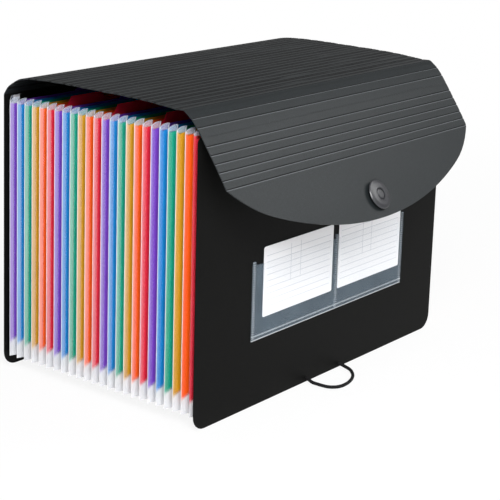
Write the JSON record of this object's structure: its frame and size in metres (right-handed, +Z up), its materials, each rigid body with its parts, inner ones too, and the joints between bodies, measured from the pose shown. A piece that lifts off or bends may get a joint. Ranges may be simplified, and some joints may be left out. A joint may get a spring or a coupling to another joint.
{
  "type": "expanding file",
  "caption": "Expanding file standing open, with pleated sides, coloured pocket sheets, a creased lid with a round-ended flap, a button and an elastic loop.",
  "frame": {"origin": "middle of the footprint of panels, gusset, lid and flap, on the table", "axes": "+X along the file's width, -Y out of the front panel, +Z up"},
  "size_m": [0.33, 0.2454, 0.238],
  "materials": {
    "cover_plastic": "satin, fine grain",
    "button_plastic": "satin",
    "elastic": "braided cord",
    "frosted_film": "frosted, translucent",
    "label_film": "smooth, translucent",
    "card": "plain white",
    "sheet_red": "satin, translucent",
    "sheet_orange": "satin, translucent",
    "sheet_yellow": "satin, translucent",
    "sheet_teal": "satin, translucent",
    "sheet_blue": "satin, translucent",
    "sheet_purple": "satin, translucent"
  },
  "bodies": {
    "file": {"back_panel": "cover_plastic", "front_panel": "cover_plastic", "bellows": "frosted_film", "label_pocket": "label_film", "label_card_left": "card", "label_card_right": "card", "elastic_loop": "elastic", "cord_end_left": "button_plastic", "cord_end_right": "button_plastic", "pocket_sheet_01": "sheet_red", "pocket_sheet_02": "sheet_orange", "pocket_sheet_03": "sheet_yellow", "pocket_sheet_04": "sheet_teal", "pocket_sheet_05": "sheet_blue", "pocket_sheet_06": "sheet_purple", "pocket_sheet_07": "sheet_red", "pocket_sheet_08": "sheet_orange", "pocket_sheet_09": "sheet_yellow", "pocket_sheet_10": "sheet_teal", "pocket_sheet_11": "sheet_blue", "pocket_sheet_12": "sheet_purple", "pocket_sheet_13": "sheet_red", "pocket_sheet_14": "sheet_orange", "pocket_sheet_15": "sheet_yellow", "pocket_sheet_16": "sheet_teal", "pocket_sheet_17": "sheet_blue", "pocket_sheet_18": "sheet_purple", "pocket_sheet_19": "sheet_red", "pocket_sheet_20": "sheet_orange", "pocket_sheet_21": "sheet_yellow", "pocket_sheet_22": "sheet_teal", "pocket_sheet_23": "sheet_blue", "pocket_sheet_24": "sheet_purple"},
    "lid": {"lid": "cover_plastic"},
    "flap": {"flap": "cover_plastic", "button": "button_plastic", "button_rivet": "button_plastic"}
  },
  "joints": [
    {"name": "lid_hinge", "type": "hinge", "parent": "file", "child": "lid", "pos_m": [0, 0.12267, 0.22052], "axis": [-1, 0, 0], "range_deg": [0, 200]},
    {"name": "flap_hinge", "type": "hinge", "parent": "lid", "child": "flap", "pos_m": [0, -0.07171, 0.21886], "axis": [-1, 0, 0], "range_deg": [-28, 95]}
  ]
}
